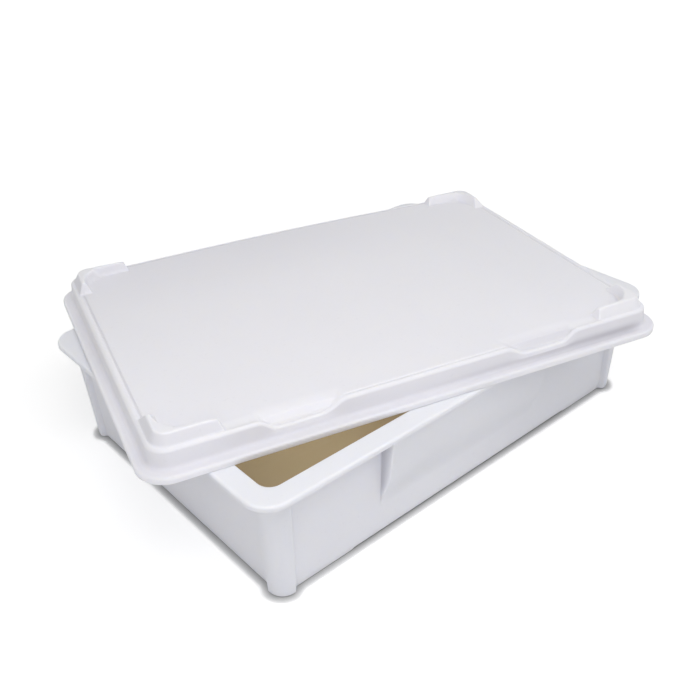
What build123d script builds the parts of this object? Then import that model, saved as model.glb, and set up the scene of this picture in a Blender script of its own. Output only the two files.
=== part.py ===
from build123d import *
import os

# A stacking dough proofing container: an open tub and a lid that lies askew on its rim.
# X runs along the long sides, Y across them and Z up. The origin is on the floor under
# the middle of the tub. All sizes are in millimetres.

# Tub, outer sizes
tub_length = 653.0
tub_width = 454.0
tub_height = 150.0

# Rim: a flat flange round the mouth, with a rounded outer edge
rim_width = 26.5
rim_thickness = 7.0
rim_corner = 32.0
rim_edge_round = 3.0
mouth_corner = 16.0

# Walls: thinner than the rim is wide, and leaning in towards the floor
wall_thickness = 4.0
long_wall_lean = 2.5
short_wall_lean = 8.5
wall_foot_round = 2.0
floor_thickness = 4.5
cavity_floor_round = 8.0

# Corner posts: they stand proud of the walls and end in rounded feet
post_proud = 6.0
post_length = 29.0
post_breadth = 24.0
post_flank = 6.0
post_corner = 19.0
foot_round = 3.0

# Wedge under the rim on each long side, proud at the top and fading into the wall
wedge_start = -151.0
wedge_end = 117.0
wedge_proud = 19.0
wedge_waist_proud = 12.0
wedge_waist_height = 77.0
wedge_foot_height = 40.0
wedge_edge_round = 3.0

# Shallow relief along the lower edge of each long wall, between the posts
relief_length = 390.0
relief_height = 1.5
relief_reach = 14.0

# Lid, outer sizes
lid_length = 660.0
lid_width = 460.0
lid_corner = 35.0
deck_height = 32.0

# Lid's brim: a lip that hangs round the rim when the lid is closed, and a cove above it
brim_height = 8.5
lip_thickness = 2.8
lip_round = 3.0
cove_radius = 4.5

# Lid's skirt and deck
skirt_foot_inset = 12.5
skirt_lean = 1.5
skirt_corner = 24.0
deck_edge_round = 1.2
lid_wall = 3.5

# Groove round the deck
groove_inset = 20.5
groove_width = 3.0
groove_depth = 1.2

# Corner tabs that locate the container stacked above
tab_inset = 18.5
tab_height = 12.2
tab_lean = 7.0
tab_crest = 3.5
tab_inner_slope = 6.0
tab_long_start = 238.0
tab_short_start = 158.0
tab_corner = 20.0
tab_inner_corner = 30.0

# Scoops in the lid's front skirt: each dips between the middle block and a corner block
scoop_start = 100.0
scoop_dip_start = 137.0
scoop_dip_end = 178.0
scoop_end = 203.0
scoop_floor = 16.5
scoop_depth = 38.0
scoop_roll = 14.0
scoop_roll_drop = 3.0
trough_reach = 33.0
trough_depth = 3.0

# How the lid lies in the photograph: turned about Z and a little off the middle
lid_turn = -15.8
lid_shift_x = -10.9
lid_shift_y = 10.3
seat_gap = 0.0

# All cuts run past the faces that they open by this much
overrun = 5.0


def outline(length, width, inset, corner, z):
    """A rounded rectangle at height z, set in from a length and a width on every side."""
    return Pos(0, 0, z) * RectangleRounded(length - 2 * inset, width - 2 * inset, corner)


def block(lower, upper):
    """The straight-sided solid between two outlines."""
    return loft([lower, upper], ruled=True)


def level_face(solid, z):
    """The largest flat face of a solid that lies at height z."""
    flats = solid.faces().filter_by(Axis.Z)
    return min(flats, key=lambda face: (abs(round(face.center().Z - z, 3)), -face.area))


def mirrored(solid):
    """A solid and its three mirror images, for the four corners."""
    across = mirror(solid, Plane.YZ)
    return [solid, across, mirror(solid, Plane.XZ), mirror(across, Plane.XZ)]


# Tub

rim_under = tub_height - rim_thickness
wall_outer_inset = rim_width - wall_thickness


def wall_outline(inset, corner, z):
    """The walls' outline at height z, set in from the rim and drawn in by the lean."""
    drop = (tub_height - z) / tub_height
    length = tub_length - 2 * (inset + short_wall_lean * drop)
    width = tub_width - 2 * (inset + long_wall_lean * drop)
    return Pos(0, 0, z) * RectangleRounded(length, width, corner)


def make_rim():
    """The flange round the mouth, still closed across the middle."""
    plate = outline(tub_length, tub_width, 0, rim_corner, rim_under)
    flange = extrude(plate, rim_thickness)
    top = level_face(flange, tub_height)
    return fillet(top.outer_wire().edges(), rim_edge_round)


def make_walls():
    """The outside of the walls, from the underside to inside the rim."""
    corner = mouth_corner + wall_thickness
    lower = wall_outline(wall_outer_inset, corner, 0)
    upper = wall_outline(wall_outer_inset, corner, tub_height - rim_edge_round)
    walls = block(lower, upper)
    return fillet(level_face(walls, 0).outer_wire().edges(), wall_foot_round)


def make_cavity():
    """The space inside the tub, from the floor to past the rim's top."""
    lower = wall_outline(rim_width, mouth_corner, floor_thickness)
    upper = wall_outline(rim_width, mouth_corner, tub_height)
    hollow = block(lower, upper)
    bottom = level_face(hollow, floor_thickness)
    hollow = fillet(bottom.outer_wire().edges(), cavity_floor_round)
    return hollow + extrude(upper, overrun)


def make_post():
    """One corner post and its foot, at the corner where X and Y are both positive."""
    inset = wall_outer_inset - post_proud
    whole = block(wall_outline(inset, post_corner, 0), wall_outline(inset, post_corner, rim_under))
    whole = fillet(level_face(whole, 0).outer_wire().edges(), foot_round)
    x_end = tub_length / 2
    y_end = tub_width / 2
    x_start = x_end - inset - post_length
    y_start = y_end - inset - post_breadth
    plan = Polyline(
        (x_start, y_end), (x_end, y_end), (x_end, y_start),
        (x_end - wall_outer_inset, y_start), (x_end - wall_outer_inset - short_wall_lean, y_start - post_flank),
        (x_end - rim_width - short_wall_lean, y_start - post_flank),
        (x_start - post_flank, y_end - rim_width - long_wall_lean),
        (x_start - post_flank, y_end - wall_outer_inset - long_wall_lean),
        (x_start, y_end - inset), close=True,
    )
    return whole & extrude(make_face(plan), rim_under)


def make_wedge():
    """The wedge under the rim on the long side that faces the front."""
    wall_y = -tub_width / 2 + wall_outer_inset
    root_y = wall_y + wall_thickness / 2
    waist_y = wall_y + long_wall_lean / 2 - wedge_waist_proud
    outline_line = Polyline(
        (root_y, rim_under), (wall_y - wedge_proud, rim_under),
        (waist_y, wedge_waist_height), (root_y, wedge_foot_height), close=True,
    )
    profile = Plane.YZ * make_face(outline_line)
    wedge = Pos(wedge_start, 0, 0) * extrude(profile, wedge_end - wedge_start)
    ends = wedge.edges().filter_by(Axis.X, reverse=True).filter_by_position(
        Axis.Y, wall_y - wedge_proud, wall_y - wedge_waist_proud / 2, inclusive=(True, True))
    return fillet(ends.filter_by(Axis.Y, reverse=True), wedge_edge_round)


def make_tub():
    """The whole tub as one moulding."""
    shell = make_rim() + make_walls()
    for post in mirrored(make_post()):
        shell += post
    wedge = make_wedge()
    shell += [wedge, mirror(wedge, Plane.XZ)]
    relief_y = tub_width / 2 - wall_outer_inset
    for side in (-1, 1):
        shell -= Pos(0, side * relief_y, 0) * Box(relief_length, 2 * relief_reach, 2 * relief_height)
    return shell - make_cavity()


# Lid, modelled with its lower edge at z = 0 and its middle on the Z axis

def make_lid_body():
    """The brim, the cove and the skirt, without the hollow underneath."""
    brim = extrude(outline(lid_length, lid_width, 0, lid_corner, 0), brim_height)
    foot = outline(lid_length, lid_width, skirt_foot_inset, skirt_corner, 0)
    head = outline(lid_length, lid_width, skirt_foot_inset + skirt_lean, skirt_corner, deck_height)
    body = brim + block(foot, head)
    body = fillet(level_face(body, brim_height).inner_wires()[0].edges(), cove_radius)
    body = fillet(level_face(body, brim_height).outer_wire().edges(), lip_round)
    return fillet(level_face(body, deck_height).outer_wire().edges(), deck_edge_round)


def make_scoop(floor, depth):
    """What one scoop takes out of the front skirt, on the side where X is positive."""
    front = -lid_width / 2
    edge = front + skirt_foot_inset
    top = deck_height
    back = front + depth
    slope = Polyline(
        (front, floor), (edge, floor), (back - scoop_roll, top - scoop_roll_drop),
    )
    roll = ThreePointArc(
        (back - scoop_roll, top - scoop_roll_drop),
        (back - scoop_roll / 2, top - scoop_roll_drop / 4),
        (back, top),
    )
    lid_off = Polyline((back, top), (back, top + overrun), (front, top + overrun), (front, floor))
    across = extrude(Plane.YZ * make_face(Wire([*slope.edges(), *roll.edges(), *lid_off.edges()])), scoop_end)
    side = Spline(
        (scoop_start, top), (scoop_dip_start, floor), tangents=[(1, 0), (1, 0)],
    )
    bottom = Line((scoop_dip_start, floor), (scoop_dip_end, floor))
    rise = Spline((scoop_dip_end, floor), (scoop_end, top), tangents=[(1, 0), (1, 0)])
    over = Polyline((scoop_end, top), (scoop_end, top + overrun), (scoop_start, top + overrun), (scoop_start, top))
    elevation = make_face(Wire([*side.edges(), *bottom.edges(), *rise.edges(), *over.edges()]))
    along = extrude(Plane.XZ * elevation, lid_width / 2)
    return across & along


def make_trough():
    """The shallow fall behind the ledge between a scoop and its corner tab."""
    inner = -lid_width / 2 + trough_reach
    outer = -lid_width / 2 + groove_inset
    profile = Polyline((inner, deck_height), (outer, deck_height), (outer, deck_height - trough_depth), close=True)
    strip = extrude(Plane.YZ * make_face(profile), tab_long_start - scoop_dip_start)
    return Pos(scoop_dip_start, 0, 0) * strip


def make_tabs():
    """Four L-shaped tabs, cut from one tapered ring round the deck."""
    top = deck_height + tab_height
    crest_inset = tab_inset + tab_lean
    foot_inset = crest_inset + tab_crest + tab_inner_slope
    outside = block(
        outline(lid_length, lid_width, tab_inset, tab_corner, deck_height),
        outline(lid_length, lid_width, crest_inset, tab_corner, top),
    )
    inside = block(
        outline(lid_length, lid_width, foot_inset, tab_inner_corner, deck_height),
        outline(lid_length, lid_width, crest_inset + tab_crest, tab_inner_corner + tab_inner_slope, top),
    )
    ring = outside - inside
    x_run = lid_length / 2 - tab_long_start
    y_run = lid_width / 2 - tab_short_start
    corner_box = Pos(tab_long_start + x_run / 2, tab_short_start + y_run / 2, deck_height + tab_height / 2)
    return mirrored(ring & (corner_box * Box(x_run, y_run, tab_height)))


def make_hollow(scoops):
    """The space under the lid: a step that fits round the rim, and the room under the deck."""
    step = extrude(outline(lid_length, lid_width, lip_thickness, lid_corner - lip_thickness, -overrun),
                   overrun + brim_height - lid_wall)
    low = outline(lid_length, lid_width, skirt_foot_inset + lid_wall, skirt_corner - lid_wall, 0)
    high = outline(lid_length, lid_width, skirt_foot_inset + skirt_lean + lid_wall,
                   skirt_corner - lid_wall, deck_height - lid_wall)
    room = block(low, high)
    for scoop in scoops:
        room -= Pos(0, lid_wall, -lid_wall) * scoop
    return step + room


def make_lid():
    """The whole lid as one moulding."""
    cuts = [make_scoop(scoop_floor, scoop_depth), make_trough()]
    cuts += [mirror(cut, Plane.YZ) for cut in cuts]
    groove = extrude(
        outline(lid_length, lid_width, groove_inset, tab_corner, deck_height - groove_depth)
        - outline(lid_length, lid_width, groove_inset + groove_width, tab_corner - groove_width,
                  deck_height - groove_depth),
        groove_depth + overrun,
    )
    lid = make_lid_body() - groove - cuts - make_hollow(cuts)
    for tab in make_tabs():
        lid += tab
    return lid


tub = make_tub()
lid = Pos(lid_shift_x, lid_shift_y, tub_height + seat_gap) * Rot(0, 0, lid_turn) * make_lid()

os.makedirs("parts", exist_ok=True)
export_step(tub, "parts/tub.step")
export_step(lid, "parts/lid.step")
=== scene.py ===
import bmesh
import bpy
import numpy as np
from math import cos, pi, radians, sin
from mathutils import Matrix, Vector


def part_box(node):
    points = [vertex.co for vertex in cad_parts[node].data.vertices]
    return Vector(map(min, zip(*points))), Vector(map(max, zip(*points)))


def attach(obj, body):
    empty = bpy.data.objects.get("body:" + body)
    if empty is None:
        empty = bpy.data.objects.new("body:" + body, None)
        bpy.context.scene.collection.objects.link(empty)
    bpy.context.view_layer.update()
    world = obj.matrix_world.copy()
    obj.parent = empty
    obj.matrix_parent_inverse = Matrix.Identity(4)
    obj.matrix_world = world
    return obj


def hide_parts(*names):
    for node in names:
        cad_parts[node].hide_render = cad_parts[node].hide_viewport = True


mm = 0.001

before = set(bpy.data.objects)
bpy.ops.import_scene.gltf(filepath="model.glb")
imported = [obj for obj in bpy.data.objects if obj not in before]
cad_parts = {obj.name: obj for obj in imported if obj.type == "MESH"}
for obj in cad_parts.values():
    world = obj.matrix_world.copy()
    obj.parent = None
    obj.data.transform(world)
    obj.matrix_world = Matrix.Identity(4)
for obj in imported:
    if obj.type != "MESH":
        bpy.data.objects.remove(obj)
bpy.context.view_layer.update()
_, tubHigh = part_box("tub")
lidLow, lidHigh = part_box("lid")
print("frame loaded:", sorted(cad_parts))


# Helpers for rounded rectangles
#
# A wall runs round a rounded rectangle in columns: front side, corner, right side, corner,
# back side, corner, left side, corner. On a side a column keeps its place along the side.
# In a corner it keeps its share of the way round the corner.

onLong, onShort, inCorner = 0, 1, 2
layers = ("rubAndHighlight", "inside", "paintedShade")
stepSlack, leastCorner = 1e-6, 1e-9
weldReach, sliverReach = 2e-6, 1e-6


def steps(stops):
    # Places from a list of (place, gap to the next): even steps no longer than each gap
    places = []
    for (start, gap), (end, _) in zip(stops[:-1], stops[1:]):
        count = max(1, int(np.ceil((end - start) / gap - stepSlack)))
        places.append(np.linspace(start, end, count, endpoint=False))
    return np.append(np.concatenate(places), stops[-1][0])


def mirroredSteps(stops):
    # The same places on both sides of the middle
    half = steps(stops)
    return np.concatenate([-half[:0:-1], half])


def arcSteps(count):
    return np.linspace(0, pi / 2, count)


def softStep(value, start, end):
    # 0 before start, 1 after end, and 3t^2 - 2t^3 between them
    t = np.clip((value - start) / (end - start), 0, 1)
    return t * t * (3 - 2 * t)


def softMin(a, b, blend):
    # The lower of two: a straight mix by h, less blend * h * (1 - h), where they are nearly equal
    h = np.clip(0.5 + 0.5 * (b - a) / blend, 0, 1)
    return b + (a - b) * h - blend * h * (1 - h)


def softMax(a, b, blend):
    return -softMin(-a, -b, blend)


def between(first, last, share):
    return first + (last - first) * share


def makeColumns(halfX, halfY, xs, ys, perCorner):
    # One entry per column: its kind, its place along the side, its share of the corner from
    # the long side to the short one, and the signs of x and y
    share = np.arange(1, perCorner + 1) / (perCorner + 1)
    names = ("kind", "along", "turn", "signX", "signY")
    stores = {name: [] for name in names}

    def add(*values):
        count = max(np.size(value) for value in values)
        for name, value in zip(names, values):
            stores[name].append(np.broadcast_to(np.asarray(value, float), (count,)))

    add(onLong, xs, 0, 1, -1)
    add(inCorner, 0, share, 1, -1)
    add(onShort, ys, 0, 1, 1)
    add(inCorner, 0, share[::-1], 1, 1)
    add(onLong, xs[::-1], 0, 1, 1)
    add(inCorner, 0, share, -1, 1)
    add(onShort, ys[::-1], 0, -1, 1)
    add(inCorner, 0, share[::-1], -1, -1)
    columns = {name: np.concatenate(store) for name, store in stores.items()}
    return dict(columns, halfX=halfX, halfY=halfY)


def ringPoints(columns, insetX, insetY, corner, blockX, blockY, reach):
    # The columns' points on the rounded rectangle that lies insetX in from the short sides
    # and insetY in from the long ones. In a corner block the way runs straight, round a
    # quarter circle, and straight again, and a column stands at its share of that length.
    halfX, halfY = columns["halfX"], columns["halfY"]
    firstX = np.maximum(blockX - insetX - corner, 0)
    lastY = np.maximum(blockY - insetY - corner, 0)
    arc = pi / 2 * corner
    way = columns["turn"] * (firstX + arc + lastY)
    angle = np.clip((way - firstX) / np.maximum(corner, leastCorner), 0, pi / 2)
    cornerX = halfX - blockX + np.minimum(way, firstX) + corner * np.sin(angle)
    cornerY = (halfY - insetY - corner * (1 - np.cos(angle))
               - np.clip(way - firstX - arc, 0, None))
    scaleX = (halfX - blockX) / reach[0]
    scaleY = (halfY - blockY) / reach[1]
    kind, along = columns["kind"], columns["along"]
    x = np.where(kind == onShort, halfX - insetX, cornerX)
    x = np.where(kind == onLong, along * scaleX, x * columns["signX"])
    y = np.where(kind == onLong, halfY - insetY, cornerY)
    y = np.where(kind == onShort, along * scaleY, y * columns["signY"])
    return x, y


def shellMesh(name, rows, floors, turn=0.0, shift=(0, 0, 0)):
    # Joins rows of columns into one closed skin. A row is x, y, z and the layers, an array
    # each, and a floor is a grid of the same that closes the first or the last row.
    count, width = len(rows[0][0]), len(rows[0])
    stacks = [np.stack(np.broadcast_arrays(*row), -1) for row in rows]
    r = np.arange(len(rows) - 1)[:, None] * count
    c = np.arange(count)[None, :]
    n = (c + 1) % count
    quads = [np.stack([r + c, r + n, r + count + n, r + count + c], -1).reshape(-1, 4)]
    start = len(rows) * count
    for grid in floors:
        grid = np.stack(np.broadcast_arrays(*grid), -1)
        across, along = grid.shape[:2]
        i = np.arange(across - 1)[:, None] * along + np.arange(along - 1)[None, :] + start
        quads.append(np.stack([i, i + along, i + along + 1, i + 1], -1).reshape(-1, 4))
        stacks.append(grid.reshape(-1, width))
        start += across * along
    points = np.concatenate(stacks)
    placed = points[:, :3].copy()
    placed[:, 0] = points[:, 0] * cos(turn) - points[:, 1] * sin(turn)
    placed[:, 1] = points[:, 0] * sin(turn) + points[:, 1] * cos(turn)
    placed += np.array(shift)
    mesh = bpy.data.meshes.new(name)
    mesh.from_pydata(placed.tolist(), [], np.concatenate(quads).tolist())
    for number, layer in enumerate(layers, 3):
        values = points[:, number].astype(np.float32)
        mesh.attributes.new(layer, "FLOAT", "POINT").data.foreach_set("value", values)
    # The floors' edges are welded to the rows, and what falls together goes
    work = bmesh.new()
    work.from_mesh(mesh)
    bmesh.ops.remove_doubles(work, verts=work.verts, dist=weldReach)
    bmesh.ops.dissolve_degenerate(work, edges=work.edges, dist=sliverReach)
    bmesh.ops.recalc_face_normals(work, faces=work.faces)
    work.to_mesh(mesh)
    work.free()
    mesh.polygons.foreach_set("use_smooth", np.ones(len(mesh.polygons), bool))
    piece = bpy.data.objects.new(name, mesh)
    bpy.context.scene.collection.objects.link(piece)
    print(name, len(mesh.vertices), "points,", len(mesh.polygons), "faces")
    return piece


# Tub

tub = dict(
    rimWidth=26.5 * mm, rimThickness=7 * mm, rimCorner=32 * mm, rimRound=3 * mm,
    rimUnderRound=0.8 * mm, mouthCorner=16 * mm, mouthRound=1.6 * mm,
    wallThickness=4 * mm, wallFillet=2 * mm, longLean=2.5 * mm, shortLean=8.5 * mm,
    floorThickness=4.5 * mm, floorRound=8 * mm, footRound=2.6 * mm,
    postProud=6 * mm, postLength=29 * mm, postBreadth=24 * mm, postFlank=6 * mm,
    postCorner=19 * mm,
    wedgeStart=-151 * mm, wedgeEnd=117 * mm, wedgeSide=2.2 * mm, wedgeProud=19 * mm,
    wedgeWaistProud=12 * mm, wedgeWaistHeight=77 * mm, wedgeFootHeight=40 * mm,
    wedgeBend=6 * mm, wedgeFade=1.6,
    reliefLength=390 * mm, reliefHeight=1.5 * mm, reliefSide=4 * mm,
    # How far in each corner's columns reach, and how many there are
    outerBlock=(44.5 * mm, 39 * mm), innerBlock=(60 * mm, 55 * mm), perCorner=20,
    # Gaps between columns and between the wall's rows, and the rows of each part
    coarse=12 * mm, margin=0.8 * mm, postGap=1.12 * mm, reliefGap=1.2 * mm, wedgeGap=0.4 * mm,
    lowGap=8 * mm, bendGap=2.5 * mm, highGap=6 * mm, bendBelow=4 * mm, bendAbove=6 * mm,
    footClear=2 * mm,
    floorRows=4, floorRoundRows=9, insideRows=12, mouthRows=6, rimEdgeRows=8, rimUnderRows=4,
    filletRows=5, footRows=6,
    rimShares=(0.04, 0.2, 0.5, 0.8, 0.96), underRimShares=(0.05, 0.35, 0.7, 0.95),
    undersideShares=(0.08, 0.4, 0.6, 1.0), reliefFade=(0.4, 0.6),
    # How rubbed the edges are, with a painted highlight on the rim's top, and how much painted
    # shade they get, from 0 to 1, and where the inside's painted shade in tan ends
    mouthRub=0.6, rimTopHighlight=0.9, rimSideRub=0.2, rimUnderRub=0.4, footRub=0.5, footShade=0.9,
    wedgeShade=(0.04, 0.1), insideShadeEnd=0.5,
)


def makeTub():
    t = tub
    halfX, halfY, height = tubHigh.x, tubHigh.y, tubHigh.z
    inner, outer = t["innerBlock"], t["outerBlock"]
    endX, endY = halfX - outer[0], halfY - outer[1]
    reach = (endX, endY)
    wallInset = t["rimWidth"] - t["wallThickness"]
    postX = halfX - wallInset + t["postProud"] - t["postLength"]
    postY = halfY - wallInset + t["postProud"] - t["postBreadth"]
    flank, coarse, margin = t["postFlank"], t["coarse"], t["margin"]
    start, end, side = t["wedgeStart"], t["wedgeEnd"], t["wedgeSide"]
    relief, reliefSide = t["reliefLength"] / 2, t["reliefSide"]
    xs = steps([
        (-endX, t["postGap"]), (-postX + flank + margin, coarse),
        (-relief - margin, t["reliefGap"]), (-relief + reliefSide + margin, coarse),
        (start - side, t["wedgeGap"]), (start + 2 * side, coarse),
        (end - 2 * side, t["wedgeGap"]), (end + side, coarse),
        (relief - reliefSide - margin, t["reliefGap"]), (relief + margin, coarse),
        (postX - flank - margin, t["postGap"]), (endX, None)])
    ys = mirroredSteps([(0, coarse), (postY - flank - margin, t["postGap"]), (endY, None)])
    columns = makeColumns(halfX, halfY, xs, ys, t["perCorner"])
    longSide, shortSide = columns["kind"] == onLong, columns["kind"] == onShort
    along = columns["along"]
    # How much of a post and of a wedge each column has, from 0 to 1, and how far it is lifted
    post = np.where(longSide, softStep(abs(along), postX - flank, postX),
                    np.where(shortSide, softStep(abs(along), postY - flank, postY), 1.0))
    wedge = np.where(longSide, softStep(along, start - side / 2, start + side / 2)
                     * (1 - softStep(along, end - side / 2, end + side / 2)), 0.0)
    lift = t["reliefHeight"] * np.where(
        longSide, 1 - softStep(abs(along), relief - reliefSide, relief), 0.0)
    under = height - t["rimThickness"]
    waist, foot = t["wedgeWaistHeight"], t["wedgeFootHeight"]

    def drawnIn(z):
        # The walls' lean: nothing at the rim's top, and the whole lean at height 0
        drop = (height - z) / height
        return t["shortLean"] * drop, t["longLean"] * drop

    def wedgeOut(z):
        # How far a wedge stands out: the lower, softly joined, of a straight taper from the
        # rim to the waist and a power curve that is full at the waist and nothing at the foot
        upper = between(t["wedgeWaistProud"], t["wedgeProud"], (z - waist) / (under - waist))
        lower = t["wedgeWaistProud"] * max((z - foot) / (waist - foot), 0) ** t["wedgeFade"]
        return max(softMin(upper, lower, t["wedgeBend"]), 0)

    def bodyInset(z):
        # How far in the outside stands: the leaning wall, less the posts and the wedges
        leanX, leanY = drawnIn(z)
        out = post * t["postProud"] + wedge * wedgeOut(z)
        return wallInset + leanX - out, wallInset + leanY - out

    rows = []

    def row(insetX, insetY, z, corner, block, rubAndHighlight=0.0, inside=0.0, paintedShade=0.0):
        x, y = ringPoints(columns, insetX, insetY, corner, *block, reach)
        rows.append((x, y, z, rubAndHighlight, inside, paintedShade))

    # Floor, its rounded edge and the inside of the walls
    floor, bend, mouth = t["floorThickness"], t["floorRound"], t["mouthCorner"]
    leanX, leanY = drawnIn(floor + bend)
    footX, footY = t["rimWidth"] + leanX, t["rimWidth"] + leanY
    # The inside layer marks these faces for the inside's painted shade, a dark warm tan
    for share in np.linspace(0, 1, t["floorRows"], endpoint=False):
        row(between(inner[0], footX + bend, share), between(inner[1], footY + bend, share), floor,
            (mouth - bend) * share, inner, inside=1.0)
    for angle in arcSteps(t["floorRoundRows"]):
        inset = bend * (1 - sin(angle))
        row(footX + inset, footY + inset, floor + bend * (1 - cos(angle)), mouth - inset, inner,
            inside=1.0)
    for z in np.linspace(floor + bend, height - t["mouthRound"], t["insideRows"])[1:]:
        leanX, leanY = drawnIn(z)
        row(t["rimWidth"] + leanX, t["rimWidth"] + leanY, z, mouth, inner, inside=1.0)
    # Rim: the mouth's edge, the flat top, the rounded outer edge and the lower edge
    mouthRound, rimRound, edge = t["mouthRound"], t["rimRound"], t["rimUnderRound"]
    # The inside's painted shade runs partway over the mouth's round
    for angle in arcSteps(t["mouthRows"])[1:]:
        inset = t["rimWidth"] - mouthRound * (1 - cos(angle))
        row(inset, inset, height - mouthRound * (1 - sin(angle)), mouth, inner, t["mouthRub"],
            max(0, t["insideShadeEnd"] - angle))
    # The rim's flat top and the upper part of its outer round are lightened through the rub layer,
    # and there it is a painted highlight
    for share in t["rimShares"]:
        inset = between(t["rimWidth"] - mouthRound, rimRound, share)
        corner = between(mouth, t["rimCorner"] - rimRound, share)
        block = [between(first, last, share) for first, last in zip(inner, outer)]
        row(inset, inset, height, corner, block, t["rimTopHighlight"])
    for angle in arcSteps(t["rimEdgeRows"]):
        inset = rimRound * (1 - sin(angle))
        row(inset, inset, height - rimRound * (1 - cos(angle)), t["rimCorner"] - inset, outer,
            between(t["rimSideRub"], t["rimTopHighlight"], cos(angle)))
    for angle in arcSteps(t["rimUnderRows"]):
        inset = edge * (1 - cos(angle))
        row(inset, inset, under + edge * (1 - sin(angle)), t["rimCorner"] - inset, outer,
            t["rimUnderRub"])
    # The rim's underside, and the fillet under it
    fillet, bodyCorner = t["wallFillet"], t["postCorner"]
    topX, topY = bodyInset(under)
    for share in t["underRimShares"]:
        row(between(edge, topX - fillet, share), between(edge, topY - fillet, share), under,
            between(t["rimCorner"] - edge, bodyCorner + fillet, share), outer)
    for angle in arcSteps(t["filletRows"]):
        inset = fillet * (1 - sin(angle))
        row(topX - inset, topY - inset, under - fillet * (1 - cos(angle)), bodyCorner + inset,
            outer)
    # Walls, posts and wedges, down to the rounded lower edge
    footRound = t["footRound"]
    heights = steps([(0, t["lowGap"]), (foot - t["bendBelow"], t["bendGap"]),
                     (waist + t["bendAbove"], t["highGap"]), (under - fillet, None)])
    # Painted shade makes the wedge's narrow ends darkest where they meet the wall
    shadeFull, shadeFade = t["wedgeShade"]
    wedgeShadeMask = softStep(wedge, 0, shadeFull) * (1 - softStep(wedge, shadeFade, 1))
    for z in heights[heights > footRound + t["footClear"]][::-1][1:]:
        insetX, insetY = bodyInset(z)
        row(insetX, insetY, z, bodyCorner, outer, paintedShade=wedgeShadeMask * softStep(z, foot, waist))
    insetX, insetY = bodyInset(footRound)
    # The foot's rounding is rubbed, and darkened with painted shade where the box meets the floor
    for angle in arcSteps(t["footRows"]):
        inset = footRound * (1 - cos(angle))
        row(insetX + inset, insetY + inset, lift + footRound * (1 - sin(angle)),
            bodyCorner - inset, outer, t["footRub"] * sin(2 * angle) ** 0.5,
            paintedShade=t["footShade"] * sin(angle))
    # Underside, with the relief along the long walls
    for share in t["undersideShares"]:
        rise = lift * (1 - softStep(share, *t["reliefFade"]))
        row(between(insetX + footRound, outer[0], share),
            between(insetY + footRound, outer[1], share), rise,
            (bodyCorner - footRound) * (1 - share), outer)

    def closing(z, block, inside):
        x, y = np.meshgrid(xs * (halfX - block[0]) / endX, ys * (halfY - block[1]) / endY,
                           indexing="ij")
        return x, y, z, 0.0, inside, 0.0

    piece = shellMesh("tubMoulding", rows, [closing(floor, inner, 1.0), closing(0.0, outer, 0.0)])
    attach(piece, "tub")
    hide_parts("tub")
    return piece


# Lid

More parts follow.
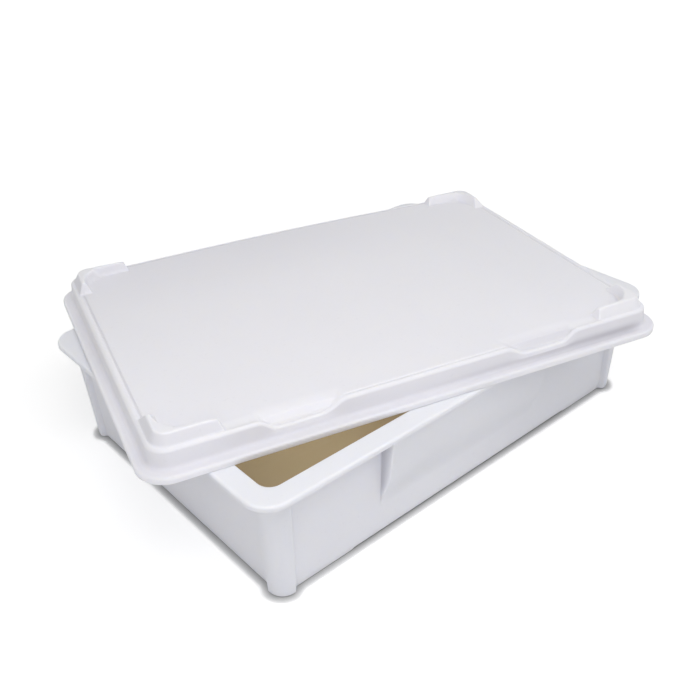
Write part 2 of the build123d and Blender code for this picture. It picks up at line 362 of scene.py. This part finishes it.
lid = dict(
    halfLength=330 * mm, halfWidth=230 * mm, cornerRound=35 * mm, turn=radians(-15.8),
    lipHeight=8.5 * mm, lipThickness=2.8 * mm, lipRound=3 * mm, lipFoot=0.9 * mm,
    lipShoulder=0.6 * mm, coveRadius=4.5 * mm, coveLap=0.4 * mm,
    skirtFoot=12.5 * mm, skirtLean=1.5 * mm, skirtCorner=24 * mm, deckHeight=32 * mm,
    ledgeRound=4.4 * mm, ledgeMost=0.6, wall=3.5 * mm,
    tabHeight=12.2 * mm, tabInset=18.5 * mm, tabLean=7 * mm, tabFoot=35 * mm, tabSlope=6 * mm,
    tabLongStart=237 * mm, tabLongEnd=4.5 * mm, tabShortStart=152 * mm, tabShortEnd=13 * mm,
    tabOuterCentre=38.5 * mm, tabInnerCentre=65 * mm,
    tabSoft=1.5 * mm, tabCrestSoft=3 * mm, tabFootSoft=0.9 * mm,
    grooveLong=20.8 * mm, grooveShort=23.2 * mm, grooveWidth=1.4 * mm, grooveDepth=1.2 * mm,
    grooveEnd=1 * mm,
    scoopStart=100 * mm, scoopDipStart=137 * mm, scoopDipEnd=178 * mm, scoopEnd=203 * mm,
    scoopFloor=16.5 * mm, scoopDepth=40 * mm, scoopRoll=16 * mm, scoopRollDrop=3 * mm,
    scoopBlend=5, scoopLeast=1e-6,
    troughStart=15 * mm, troughReach=33 * mm, troughDepth=1.8 * mm, troughSide=2 * mm,
    crown=3 * mm, crownReach=0.69, crownFade=(-0.2, 1),
    # The corner radius at each inset, in millimetres
    cornerInsets=(0, 12.5, 17.5, 33, 45), cornerRadii=(35, 24, 20, 11, 0),
    # How far in each corner's columns reach, and how many there are
    block=45 * mm, perCorner=20,
    # Gaps between columns
    coarse=10 * mm, scoopGap=2.2 * mm, dipGap=4.4 * mm, tabGap=1.05 * mm, tabEdgeGap=0.7 * mm,
    tabSlopeGap=5 * mm, band=4 * mm, tabLead=1 * mm, shortBand=(3 * mm, 2 * mm),
    # The rows of each part, whose insets and stops are in millimetres
    ceilingInsets=(45, 42, 38, 34, 30, 27, 24, 22, 20, 18.5), ceilingLead=0.6, wallLead=0.4,
    wallShares=(0, 0.1, 0.5, 0.9, 1), stepInsets=(15, 10, 5, 3.4),
    lipUnderRows=4, lipFootRows=5, lipTopRows=9, coveRows=8, ledgeRows=8,
    brimShares=(0.05, 0.5, 0.95), skirtShares=(0.08, 0.3, 0.5, 0.7, 0.9, 1),
    deckStops=((18.6, 0.45), (27, 0.7), (36, 1.4), (41, 2), (45, None)),
    # How rubbed the edges are, from 0 to 1
    lipUnderRub=0.3, lipFootRub=0.5, lipTopRub=0.4, ledgeRub=0.7, crestRub=(2.5 * mm, 0.5 * mm),
    # How much painted shade the hollows and the duller faces get, from 0 to 1
    brimShade=0.8, coveShade=1.0, skirtShadeEnd=0.6,
    brimFrontShade=0.26, skirtFrontShade=0.24, skirtFrontShadeLoss=0.4, ledgeFrontShade=0.6, deckShade=0.20,
    scoopShade=0.35, scoopShadeDepth=4 * mm,
    grooveShade=0.35, grooveShadeFront=0.05, grooveShadeRight=0.15,
    tabShade=0.26, tabShadeOutside=(0.3 * mm, 2 * mm), tabShadeWithin=(0, 6 * mm),
    # Where such painted shade fades, as shares of the half length or the half width
    rightShadeRise=(-0.6, 1.1), rightShadeFall=(0.84, 0.95), frontFade=(0.6, 1),
    deckFadeX=(-0.2, 0.9), deckFadeY=(0.1, 1), tabFadeX=(-0.9, 0.9), scoopFadeX=(0, 0.5),
)


def scoopCut(along, inset):
    # How deep the scoops go below the deck: the lesser of the S-curve seen from the front and
    # the slope seen from the side, joined by a power mean, so that the crease is rounded
    d = lid
    deck, x = d["deckHeight"], abs(along)
    fall = (softStep(x, d["scoopStart"], d["scoopDipStart"])
            - softStep(x, d["scoopDipEnd"], d["scoopEnd"]))
    fromFront = (deck - d["scoopFloor"]) * fall
    rollStart = d["scoopDepth"] - d["scoopRoll"]
    slope = np.clip((inset - d["skirtFoot"]) / (rollStart - d["skirtFoot"]), 0, 1)
    roll = np.clip((d["scoopDepth"] - inset) / d["scoopRoll"], 0, 1)
    fromSide = (d["scoopRollDrop"] * roll ** 2
                + (deck - d["scoopFloor"] - d["scoopRollDrop"]) * (1 - slope))
    power, least = d["scoopBlend"], d["scoopLeast"]
    return ((fromFront + least) ** -power + (fromSide + least) ** -power) ** (-1 / power) - least


def troughCut(along, inset):
    # Between a scoop and its corner tab the deck steps down to a shallow trough, with a soft
    # step on each of its four sides
    d = lid
    x = abs(along)
    across = (softStep(-inset, -d["troughReach"], -d["grooveLong"])
              * softStep(inset, d["troughStart"], d["grooveLong"]))
    lengthwise = (softStep(x, d["scoopDipEnd"], d["scoopEnd"])
                  * (1 - softStep(x, d["tabLongStart"] - d["troughSide"],
                                  d["tabLongStart"] + d["troughSide"])))
    return d["troughDepth"] * across * lengthwise


def roundedInset(fromShort, fromLong, centre):
    # How far in a point is from a rounded rectangle's edge, whose corner circles are centred
    # that far in from both sides
    corner = centre - np.hypot(np.clip(centre - fromShort, 0, None),
                               np.clip(centre - fromLong, 0, None))
    return np.where((fromShort < centre) & (fromLong < centre), corner,
                    np.minimum(fromShort, fromLong))


def tabRise(x, y):
    # A tab's height over the deck: the lowest of its outer slope, its crest, its inner slope
    # and its end slopes, and nothing outside them, with soft edges
    d = lid
    fromShort, fromLong = d["halfLength"] - abs(x), d["halfWidth"] - abs(y)
    outer = (roundedInset(fromShort, fromLong, d["tabOuterCentre"]) - d["tabInset"]) / d["tabLean"]
    inner = (d["tabFoot"] - roundedInset(fromShort, fromLong, d["tabInnerCentre"])) / d["tabSlope"]
    end = np.where(fromLong < fromShort, (abs(x) - d["tabLongStart"]) / d["tabLongEnd"],
                   (abs(y) - d["tabShortStart"]) / d["tabShortEnd"])
    full, soft, footSoft = d["tabHeight"], d["tabSoft"], d["tabFootSoft"]
    sides = softMin(outer * full, inner * full, d["tabCrestSoft"])
    shape = softMin(softMin(sides, end * full, soft), full, soft)
    return np.where(shape < -footSoft, 0, softMax(shape, 0, footSoft))


def fadeAcross(value, half, ends):
    # softStep between two places that are given as shares of a half size
    return softStep(value, ends[0] * half, ends[1] * half)


def makeLid():
    d = lid
    halfX, halfY, block = d["halfLength"], d["halfWidth"], d["block"]
    endX, endY = halfX - block, halfY - block
    reach = (endX, endY)
    deck, wall = d["deckHeight"], d["wall"]
    coarse, scoopGap, dipGap, tabGap = d["coarse"], d["scoopGap"], d["dipGap"], d["tabGap"]
    tabX, tabY = d["tabLongStart"], d["tabShortStart"]
    band, (before, after) = d["band"], d["shortBand"]
    xs = mirroredSteps([
        (0, coarse), (d["scoopStart"] - band, scoopGap), (d["scoopDipStart"] + band, dipGap),
        (d["scoopDipEnd"] - band, scoopGap), (d["scoopEnd"] + band, dipGap),
        (tabX - band, tabGap), (tabX - d["tabLead"], d["tabEdgeGap"]), (tabX + band, coarse),
        (endX, None)])
    ys = mirroredSteps([(0, coarse), (tabY - before, tabGap),
                        (tabY + d["tabShortEnd"] + after, d["tabSlopeGap"]), (endY, None)])
    columns = makeColumns(halfX, halfY, xs, ys, d["perCorner"])
    kind, along = columns["kind"], columns["along"]
    longSide, shortSide = kind == onLong, kind == onShort
    front = longSide & (columns["signY"] < 0)
    right = shortSide & (columns["signX"] > 0)
    grooveCorner = between(d["grooveLong"], d["grooveShort"], columns["turn"])
    grooveInset = np.where(shortSide, d["grooveShort"],
                           np.where(longSide, d["grooveLong"], grooveCorner))
    # The groove's bottom gets painted shade, darker on the left side and at the back
    grooveShade = np.where(front, d["grooveShadeFront"],
                          np.where(right, d["grooveShadeRight"], d["grooveShade"]))

    def top(inset):
        return deck - np.where(front, scoopCut(along, inset), 0)

    def bowed(x, y, z):
        # The middle of the back edge stands a little high, in one long bow: a cosine along the
        # edge, which fades out towards the front and towards the lip
        bow = d["crown"] * np.cos(np.clip(x / (d["crownReach"] * halfX), -1, 1) * pi / 2)
        return z + bow * fadeAcross(y, halfY, d["crownFade"]) * np.clip(z / deck, 0, 1)

    def shadeTowardsRight(x):
        # The painted shade at the skirt's foot is darkest towards the right, and fades to the left
        # and at the corner
        return (fadeAcross(x, halfX, d["rightShadeRise"])
                * (1 - fadeAcross(x, halfX, d["rightShadeFall"])))

    def deckShaded(x, y):
        # Painted shade makes the deck a little darker towards its back left corner
        return (d["deckShade"] * fadeAcross(y, halfY, d["deckFadeY"])
                * (1 - fadeAcross(x, halfX, d["deckFadeX"])))

    def cornerAt(inset):
        # Brim, skirt and tabs each have their own corner, and further in it closes up
        return np.interp(inset / mm, d["cornerInsets"], d["cornerRadii"]) * mm

    rows = []

    def row(inset, z, corner, rubAndHighlight=0.0, paintedShade=0.0, localShade=0.0, frontShade=0.0):
        x, y = ringPoints(columns, inset, inset, corner, block, block, reach)
        # Painted shade: the part in the hollows grows towards the right, and the front's part
        # fades towards the back
        shadeTotal = localShade + frontShade * fadeAcross(-y, halfY, d["frontFade"])
        rows.append((x, y, bowed(x, y, z), rubAndHighlight, 0.0, np.maximum(paintedShade * shadeTowardsRight(x), shadeTotal)))

    # Underside, from the middle out: the ceiling, the inner wall, the step and the lip
    skirtTop = d["skirtFoot"] + d["skirtLean"]
    for inset in np.multiply(d["ceilingInsets"], mm):
        row(inset, top(inset - wall * d["ceilingLead"]) - wall, cornerAt(inset))
    ceiling = top(skirtTop + wall * d["wallLead"]) - wall
    stepHeight = d["lipHeight"] - wall
    for share in d["wallShares"]:
        row(skirtTop + wall - d["skirtLean"] * share, between(ceiling, stepHeight, share),
            d["skirtCorner"] - wall)
    for inset in np.multiply(d["stepInsets"], mm):
        row(inset, stepHeight, cornerAt(inset))
    for z in (stepHeight - d["lipShoulder"], stepHeight / 2, d["lipFoot"]):
        row(d["lipThickness"], z, d["cornerRound"] - d["lipThickness"])
    # Lip: rounded foot, outer face and rounded top
    foot, bend = d["lipFoot"], d["lipRound"]
    for angle in arcSteps(d["lipUnderRows"])[1:]:
        inset = d["lipThickness"] - foot * (1 - cos(angle))
        row(inset, foot * (1 - sin(angle)), d["cornerRound"] - inset, d["lipUnderRub"])
    for angle in arcSteps(d["lipFootRows"]):
        inset = foot * (1 - sin(angle))
        row(inset, foot * (1 - cos(angle)), d["cornerRound"] - inset, d["lipFootRub"])
    # The lip's rounded top gets painted shade on the front
    for angle in arcSteps(d["lipTopRows"]):
        inset = bend * (1 - cos(angle))
        row(inset, d["lipHeight"] - bend * (1 - sin(angle)), d["cornerRound"] - inset,
            d["lipTopRub"] * sin(2 * angle) ** 0.5, frontShade=d["brimFrontShade"] * sin(angle))
    # Brim, cove and skirt, with painted shade in the cove, at the skirt's foot and on the front
    cove, skirtBase = d["coveRadius"], d["skirtFoot"] + d["coveLap"]
    coveStart = skirtBase - cove
    for share in d["brimShares"]:
        inset = between(bend, coveStart, share)
        row(inset, d["lipHeight"], cornerAt(inset), paintedShade=d["brimShade"] * share,
            frontShade=d["brimFrontShade"])
    for angle in arcSteps(d["coveRows"]):
        inset = coveStart + cove * sin(angle)
        row(inset, d["lipHeight"] + cove * (1 - cos(angle)), cornerAt(inset),
            paintedShade=between(d["brimShade"], d["coveShade"], sin(angle) ** 2),
            frontShade=between(d["skirtFrontShade"], d["brimFrontShade"], cos(angle)))
    coveTop = d["lipHeight"] + cove
    ledge = np.minimum(d["ledgeRound"], (top(skirtTop) - coveTop) * d["ledgeMost"])
    edgeHeight = top(skirtTop) - ledge
    for share in d["skirtShares"]:
        row(between(skirtBase, skirtTop, share), between(coveTop, edgeHeight, share),
            d["skirtCorner"] - d["skirtLean"] * share,
            paintedShade=1 - softStep(share, 0, d["skirtShadeEnd"]),
            frontShade=d["skirtFrontShade"] * (1 - d["skirtFrontShadeLoss"] * share))
    # The ledge's front gets a little painted shade
    for angle in arcSteps(d["ledgeRows"])[1:]:
        inset = skirtTop + ledge * (1 - cos(angle))
        row(inset, edgeHeight + ledge * sin(angle), cornerAt(inset),
            d["ledgeRub"] * abs(sin(2 * angle)) ** 0.5,
            frontShade=d["ledgeFrontShade"] * d["skirtFrontShade"] * cos(angle))
    # Ledge, groove, tabs and the outer deck
    full, crest = d["tabHeight"], d["tabInset"] + d["tabLean"]
    rubStart, rubEnd = d["crestRub"]
    for inset in steps(d["deckStops"]) * mm:
        x, y = ringPoints(columns, inset, inset, cornerAt(inset), block, block, reach)
        rise, cut = tabRise(x, y), deck - top(inset)
        trough = np.where(front, troughCut(along, inset), 0)
        # The groove is a bell curve across its width, and ends where the deck rises or falls
        groove = np.exp(-((inset - grooveInset) / d["grooveWidth"]) ** 2) * (kind != inCorner)
        groove = groove * (1 - softStep(rise + trough + cut, 0, d["grooveEnd"]))
        # The tabs' crests are rubbed, and their outer faces get painted shade on the left
        lightened = softStep(rise, full - rubStart, full - rubEnd)
        outside = softStep(rise, *d["tabShadeOutside"]) * (inset < crest)
        # So do the back tabs' inner faces, and the scoop's face on the right
        within = softStep(rise, *d["tabShadeWithin"]) * (y > 0) * (inset > crest)
        tabPart = ((outside + within) * (1 - lightened) * d["tabShade"]
                   * (1 - fadeAcross(x, halfX, d["tabFadeX"])))
        scoopPart = (softStep(cut, 0, d["scoopShadeDepth"]) * d["scoopShade"]
                     * fadeAcross(x, halfX, d["scoopFadeX"]))
        row(inset, top(inset) + rise - groove * d["grooveDepth"] - trough, cornerAt(inset), lightened,
            localShade=groove * grooveShade + tabPart + scoopPart + (rise <= 0) * deckShaded(x, y))

    def closing(z):
        x, y = np.meshgrid(xs, ys, indexing="ij")
        return x, y, bowed(x, y, z), 0.0, 0.0, deckShaded(x, y)

    middle = (lidLow + lidHigh) / 2
    piece = shellMesh("lidMoulding", rows, [closing(deck - wall), closing(deck)], d["turn"],
                      (middle.x, middle.y, lidLow.z))
    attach(piece, "lid")
    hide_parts("lid")
    return piece


tubPiece = makeTub()
lidPiece = makeLid()


# Materials

def newNode(tree, kind, place, **settings):
    node = tree.nodes.new(kind)
    node.location = place
    for key, value in settings.items():
        setattr(node, key, value)
    return node


def setOrLink(tree, value, socket):
    # A value is a constant or an output socket
    if isinstance(value, bpy.types.NodeSocket):
        tree.links.new(value, socket)
    else:
        socket.default_value = value


def mathNode(tree, operation, first, second, place):
    node = newNode(tree, "ShaderNodeMath", place, operation=operation)
    setOrLink(tree, first, node.inputs[0])
    setOrLink(tree, second, node.inputs[1])
    return node.outputs[0]


def mixColour(tree, factor, first, second, place):
    # A colour mix node keeps its factor at 0 and its two colours at 6 and 7
    node = newNode(tree, "ShaderNodeMix", place, data_type="RGBA")
    for number, value in ((0, factor), (6, first), (7, second)):
        setOrLink(tree, value, node.inputs[number])
    return node.outputs[2]


def scaleValue(tree, socket, low, high, place, start=0.0, end=1.0):
    node = newNode(tree, "ShaderNodeMapRange", place)
    tree.links.new(socket, node.inputs["Value"])
    for name, value in (("From Min", start), ("From Max", end), ("To Min", low), ("To Max", high)):
        node.inputs[name].default_value = value
    return node.outputs["Result"]


# Moulded grain, slow cloudy patches, small flecks and long faint scuffs
marks = dict(
    Grain=dict(scale=900.0, detail=2.0, rough=0.6),
    Cloud=dict(scale=9.0, detail=3.0, rough=0.5),
    Fleck=dict(scale=240.0, detail=1.0, rough=0.5, cut=(0.66, 0.78)),
    Scuff=dict(scale=38.0, detail=2.0, rough=0.5, cut=(0.58, 0.74), turn=radians(31),
               stretch=(0.12, 2.2, 1.0)),
)


def makeGrainGroup():
    # Gives each of the marks as a mask from 0 to 1
    group = bpy.data.node_groups.new("mouldGrain", "ShaderNodeTree")
    link = group.links.new
    for name, mark in marks.items():
        socket = group.interface.new_socket(name + " Scale", in_out="INPUT",
                                            socket_type="NodeSocketFloat")
        socket.default_value = mark["scale"]
        group.interface.new_socket(name, in_out="OUTPUT", socket_type="NodeSocketFloat")
    inputs = newNode(group, "NodeGroupInput", (-900, 0))
    outputs = newNode(group, "NodeGroupOutput", (500, 0))
    coords = newNode(group, "ShaderNodeTexCoord", (-900, -300))
    for number, (name, mark) in enumerate(marks.items()):
        level = 200 - 300 * number
        source = coords.outputs["Object"]
        if "stretch" in mark:
            stretch = newNode(group, "ShaderNodeMapping", (-600, level))
            stretch.inputs["Rotation"].default_value = (0, 0, mark["turn"])
            stretch.inputs["Scale"].default_value = mark["stretch"]
            link(source, stretch.inputs["Vector"])
            source = stretch.outputs["Vector"]
        noise = newNode(group, "ShaderNodeTexNoise", (-300, level))
        noise.inputs["Detail"].default_value = mark["detail"]
        noise.inputs["Roughness"].default_value = mark["rough"]
        link(source, noise.inputs["Vector"])
        link(inputs.outputs[name + " Scale"], noise.inputs["Scale"])
        mask = noise.outputs["Fac"]
        if "cut" in mark:
            mask = scaleValue(group, mask, 0.0, 1.0, (0, level), *mark["cut"])
        link(mask, outputs.inputs[name])
    return group


grainGroup = makeGrainGroup()

finish = dict(
    tubWhite=(0.785, 0.79, 0.835, 1), tubShade=(0.76, 0.765, 0.815, 1),
    # The tub's rub colour marks rubbed edges, and on the rim's top it is a painted highlight
    tubRubAndHighlight=(0.93, 0.94, 0.97, 1), insideShadeTan=(0.37, 0.275, 0.16, 1),
    insideShadeGreen=(0.34, 0.28, 0.155, 1), lidWhite=(0.835, 0.83, 0.87, 1),
    lidShade=(0.805, 0.80, 0.845, 1), lidRub=(0.86, 0.86, 0.88, 1),
    # The crease grey is the colour of painted shade, and also of the flecks
    shadeAndFleckGrey=(0.36, 0.35, 0.40, 1), paintedShadeDepth=0.6, rubAndHighlightDepth=0.3,
    roughLow=0.48, roughHigh=0.62, roughRange=(0.3, 0.7), fleckDepth=0.05, scuffPolish=0.10,
    grainHeight=0.03 * mm, grainStrength=0.35,
    softWeight=1.0, softRadius=(1.0, 0.95, 0.85), softDepth=4 * mm, ior=1.5,
)


def makePlastic(name, white, shade, lightened, inside=False):
    # The mesh's layers: one for the rubbed edges and the painted highlight on the tub's rim top,
    # one for painted shade in the hollows and on some broad faces, and one for the inside's
    # painted shade in tan
    f = finish
    material = bpy.data.materials.new(name)
    material.use_nodes = True
    tree = material.node_tree
    tree.nodes.clear()
    output = newNode(tree, "ShaderNodeOutputMaterial", (900, 0))
    shader = newNode(tree, "ShaderNodeBsdfPrincipled", (600, 0))
    grain = newNode(tree, "ShaderNodeGroup", (-600, 0), node_tree=grainGroup)
    rubAndHighlight = newNode(tree, "ShaderNodeAttribute", (-600, -300), attribute_name="rubAndHighlight")
    paintedShade = newNode(tree, "ShaderNodeAttribute", (-600, -700), attribute_name="paintedShade")
    cloud = grain.outputs["Cloud"]
    colour = mixColour(tree, cloud, f[white], f[shade], (-300, 200))
    # The rub layer lightens the rubbed edges, and on the tub's rim top it is a painted highlight
    rubAndHighlightMask = scaleValue(tree, rubAndHighlight.outputs["Fac"], 0.0, f["rubAndHighlightDepth"], (-300, -300))
    colour = mixColour(tree, rubAndHighlightMask, colour, f[lightened], (0, 200))
    # The crease layer mixes in painted shade
    paintedShadeMask = scaleValue(tree, paintedShade.outputs["Fac"], 0.0, f["paintedShadeDepth"], (-300, -700))
    colour = mixColour(tree, paintedShadeMask, colour, f["shadeAndFleckGrey"], (150, 300))
    # The inside is coloured a dark warm tan, which is painted shade
    if inside:
        mask = newNode(tree, "ShaderNodeAttribute", (-600, -500), attribute_name="inside")
        insideShade = mixColour(tree, cloud, f["insideShadeGreen"], f["insideShadeTan"], (0, -100))
        colour = mixColour(tree, mask.outputs["Fac"], colour, insideShade, (250, 100))
    fleck = scaleValue(tree, grain.outputs["Fleck"], 0.0, f["fleckDepth"], (150, 600))
    colour = mixColour(tree, fleck, colour, f["shadeAndFleckGrey"], (400, 500))
    tree.links.new(colour, shader.inputs["Base Color"])
    # The cloudy patches vary the gloss, and the scuffs are a little more polished
    rough = scaleValue(tree, cloud, f["roughHigh"], f["roughLow"], (150, -100), *f["roughRange"])
    polish = scaleValue(tree, grain.outputs["Scuff"], 0.0, f["scuffPolish"], (150, -250))
    tree.links.new(mathNode(tree, "SUBTRACT", rough, polish, (350, -150)),
                   shader.inputs["Roughness"])
    bump = newNode(tree, "ShaderNodeBump", (300, -400))
    bump.inputs["Strength"].default_value = f["grainStrength"]
    bump.inputs["Distance"].default_value = f["grainHeight"]
    tree.links.new(grain.outputs["Grain"], bump.inputs["Height"])
    tree.links.new(bump.outputs["Normal"], shader.inputs["Normal"])
    tree.links.new(shader.outputs["BSDF"], output.inputs["Surface"])
    for socket, key in (("Subsurface Weight", "softWeight"), ("Subsurface Radius", "softRadius"),
                        ("Subsurface Scale", "softDepth"), ("IOR", "ior")):
        shader.inputs[socket].default_value = f[key]
    return material


tubPiece.data.materials.append(
    makePlastic("tubPolyethylene", "tubWhite", "tubShade", "tubRubAndHighlight", inside=True))
lidPiece.data.materials.append(makePlastic("lidPolyethylene", "lidWhite", "lidShade", "lidRub"))
print("materials made")


# Floor, light and camera

studio = dict(
    floorHalf=6.0, floorWhite=(0.80, 0.80, 0.80, 1), gapGrey=(0.40, 0.40, 0.40, 1),
    glowNear=0.46, glowFar=1.0, glowStart=0.55, glowEnd=1.5,
    contactReach=11 * mm, contactPower=8.0, gapPower=2.0,
    worldColour=(1, 1, 1, 1), worldWhite=1.0, worldLight=0.50,
    focus=862.254, imageWidth=700, sensor=36.0, pitch=31.839, roll=-1.526, turn=40.773,
    cameraPlace=(-0.6549, -0.7406, 0.7066),
)

lamps = dict(
    topLight=dict(place=(-0.26, -0.48, 1.15), size=0.8, power=4.0),
    rightLight=dict(place=(1.63, -1.63, 1.93), size=2.0, power=12.8),
    nearLight=dict(place=(-0.98, -0.98, 0.80), size=1.0, power=3.75),
    leftLight=dict(place=(-2.27, 0.0, 1.06), size=1.5, power=2.2),
    # Thin walls let some light through, and this small lamp under the lid stands for it
    innerLight=dict(place=(-0.10, -0.04, 0.146), size=0.30, power=0.40, aim=(-0.10, -0.04, 0)),
)


def glowForCamera(tree, place):
    # 1 where the camera looks straight, in a mirror or through glass, and 0 for other light
    path = newNode(tree, "ShaderNodeLightPath", place)
    total = path.outputs["Is Camera Ray"]
    for number, name in enumerate(("Is Glossy Ray", "Is Transmission Ray"), 1):
        total = mathNode(tree, "MAXIMUM", total, path.outputs[name],
                         (place[0] + 200 * number, place[1]))
    return total


def makeFloor():
    s = studio
    half = s["floorHalf"]
    mesh = bpy.data.meshes.new("studioFloor")
    mesh.from_pydata([(-half, -half, 0), (half, -half, 0), (half, half, 0), (-half, half, 0)], [],
                     [(0, 1, 2, 3)])
    floor = bpy.data.objects.new("studioFloor", mesh)
    bpy.context.scene.collection.objects.link(floor)
    material = bpy.data.materials.new("floorWhite")
    material.use_nodes = True
    tree = material.node_tree
    tree.nodes.clear()
    output = newNode(tree, "ShaderNodeOutputMaterial", (600, 0))
    paper = newNode(tree, "ShaderNodeBsdfDiffuse", (0, 0))
    glow = newNode(tree, "ShaderNodeEmission", (0, -200))
    # The floor turns pure white further out, and keeps the shadow near the box
    coords = newNode(tree, "ShaderNodeTexCoord", (-900, -500))
    away = newNode(tree, "ShaderNodeVectorMath", (-700, -500), operation="LENGTH")
    tree.links.new(coords.outputs["Object"], away.inputs[0])
    level = scaleValue(tree, away.outputs["Value"], s["glowNear"], s["glowFar"], (-500, -500),
                       s["glowStart"], s["glowEnd"])
    # Right beside the box the glow fades and the paper is greyer, which gives the contact shadow
    openness = newNode(tree, "ShaderNodeAmbientOcclusion", (-900, -800))
    openness.inputs["Distance"].default_value = s["contactReach"]
    contact = mathNode(tree, "POWER", openness.outputs["AO"], s["contactPower"], (-500, -800))
    gap = mathNode(tree, "POWER", openness.outputs["AO"], s["gapPower"], (-500, 200))
    tree.links.new(mixColour(tree, gap, s["gapGrey"], s["floorWhite"], (-250, 200)),
                   paper.inputs["Color"])
    held = mathNode(tree, "MULTIPLY", level, contact, (-300, -500))
    seen = glowForCamera(tree, (-900, -200))
    tree.links.new(mathNode(tree, "MULTIPLY", seen, held, (-200, -200)), glow.inputs["Strength"])
    both = newNode(tree, "ShaderNodeAddShader", (300, 0))
    tree.links.new(paper.outputs[0], both.inputs[0])
    tree.links.new(glow.outputs[0], both.inputs[1])
    tree.links.new(both.outputs[0], output.inputs["Surface"])
    mesh.materials.append(material)


def makeWorld():
    s = studio
    world = bpy.data.worlds.new("studioWorld")
    bpy.context.scene.world = world
    world.use_nodes = True
    tree = world.node_tree
    tree.nodes.clear()
    output = newNode(tree, "ShaderNodeOutputWorld", (600, 0))
    background = newNode(tree, "ShaderNodeBackground", (300, 0))
    background.inputs["Color"].default_value = s["worldColour"]
    strength = scaleValue(tree, glowForCamera(tree, (-600, 0)), s["worldLight"], s["worldWhite"],
                          (100, -100))
    tree.links.new(strength, background.inputs["Strength"])
    tree.links.new(background.outputs[0], output.inputs["Surface"])


def makeLight(name, place, size, power, aim=(0, 0, 0)):
    light = bpy.data.lights.new(name, "AREA")
    light.shape = "SQUARE"
    light.size = size
    light.energy = power
    lamp = bpy.data.objects.new(name, light)
    bpy.context.scene.collection.objects.link(lamp)
    lamp.location = place
    lamp.rotation_euler = (Vector(aim) - Vector(place)).to_track_quat("-Z", "Y").to_euler()
    lamp.visible_camera = False


def makeCamera():
    s = studio
    camera = bpy.data.objects.new("photoCamera", bpy.data.cameras.new("photoCamera"))
    bpy.context.scene.collection.objects.link(camera)
    camera.data.sensor_width = s["sensor"]
    camera.data.lens = s["focus"] * s["sensor"] / s["imageWidth"]
    turned = (Matrix.Rotation(radians(-s["turn"]), 4, "Z")
              @ Matrix.Rotation(radians(90 - s["pitch"]), 4, "X"))
    camera.matrix_world = (Matrix.Translation(Vector(s["cameraPlace"])) @ turned
                           @ Matrix.Rotation(radians(s["roll"]), 4, "Z"))
    bpy.context.scene.camera = camera


makeFloor()
makeWorld()
for name, lamp in lamps.items():
    makeLight(name, **lamp)
makeCamera()
bpy.context.scene.view_settings.view_transform = "Standard"
print("studio ready")
